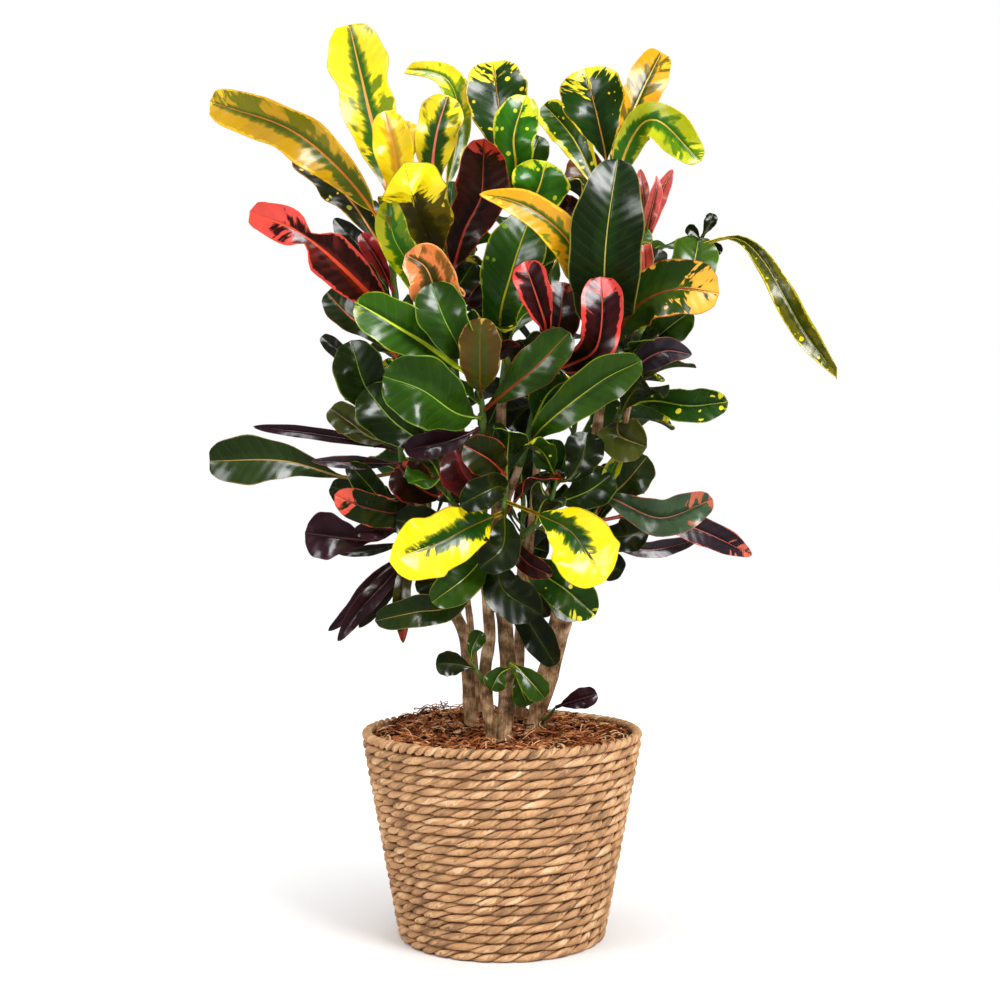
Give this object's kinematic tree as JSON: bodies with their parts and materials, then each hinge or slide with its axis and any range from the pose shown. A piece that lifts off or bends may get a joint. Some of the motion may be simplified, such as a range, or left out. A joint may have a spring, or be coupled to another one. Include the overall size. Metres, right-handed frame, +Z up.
{
  "type": "potted croton plant",
  "caption": "Multi-stemmed croton shrub with waved, variegated leaves, planted in soil under coir mulch, in a tapered basket of twisted rope.",
  "frame": {"origin": "middle of the basket's flat underside, on the floor", "axes": "+Z up along the basket, +X to the right and -Y to the front as the picture shows the plant"},
  "size_m": [0.6152, 0.3645, 0.9119],
  "materials": {
    "rope": "matt twisted plant-fibre rope",
    "plastic": "satin moulded nursery-pot plastic",
    "soil": "damp potting soil of peat and composted bark",
    "coir": "loose dry coir fibre",
    "bark": "thin grained bark",
    "leaf_green": "waxy green leaf with lighter rib, dark, lime and spotted by leaf",
    "leaf_yellow": "waxy yellow leaf with a feathered green middle",
    "leaf_gold": "waxy gold leaf with an orange rib",
    "leaf_red": "waxy red leaf with dark patches",
    "leaf_lime": "waxy lime leaf with yellow margins",
    "leaf_peach": "waxy peach leaf with an olive middle",
    "leaf_bronze": "waxy olive-brown leaf with a thin pale margin",
    "leaf_maroon": "waxy dark maroon leaf",
    "leaf_purple": "waxy dark purple leaf",
    "leaf_olive": "waxy olive leaf with yellow margins"
  },
  "bodies": {
    "root": {"basket": "rope", "rim_rope": "rope", "grow_pot": "plastic", "root_ball": "soil", "coir_mulch": "coir", "trunk_left": "bark", "trunk_front": "bark", "trunk_right": "bark", "trunk_back": "bark", "trunk_back_left": "bark", "shoot_left_crown": "leaf_green", "shoot_left": "leaf_green", "shoot_left_low": "leaf_green", "shoot_centre_left": "leaf_green", "shoot_centre": "leaf_green", "shoot_centre_front": "leaf_green", "shoot_front_low": "leaf_green", "shoot_centre_right": "leaf_green", "shoot_right_crown": "leaf_green", "shoot_right_low": "leaf_green", "shoot_right_mid": "leaf_green", "shoot_far_right": "leaf_green", "shoot_spiky": "leaf_green", "shoot_back": "leaf_green", "shoot_back_right": "leaf_green", "shoot_back_low": "leaf_green", "shoot_back_left": "leaf_green", "shoot_back_left_low": "leaf_green", "shoot_mid_left": "leaf_green", "shoot_mid_right": "leaf_green", "shoot_sprout_left": "leaf_green", "shoot_sprout_front": "leaf_green", "shoot_sprout_right": "leaf_green", "leaf_crest": "leaf_yellow", "leaf_gold_sweep": "leaf_gold", "leaf_red_tongue": "leaf_red", "leaf_lime_tongue": "leaf_lime", "leaf_peach_curl": "leaf_peach", "leaf_yellow_tongue": "leaf_yellow", "leaf_gold_cup": "leaf_gold", "leaf_bronze": "leaf_bronze", "leaf_pink_rib": "leaf_yellow", "leaf_saddle": "leaf_yellow", "leaf_maroon_top": "leaf_maroon", "leaf_ribbon": "leaf_gold", "leaf_gold_right": "leaf_gold", "leaf_droop_right": "leaf_lime", "leaf_brown_right": "leaf_bronze", "leaf_crimson_front": "leaf_red", "leaf_crimson_right": "leaf_red", "leaf_orange_tip": "leaf_green", "leaf_salmon_edge": "leaf_green", "leaf_purple_spoon": "leaf_purple", "leaf_yellow_left": "leaf_yellow", "leaf_yellow_right": "leaf_yellow", "leaf_purple_blade": "leaf_purple", "leaf_hanging": "leaf_olive"}
  },
  "joints": []
}
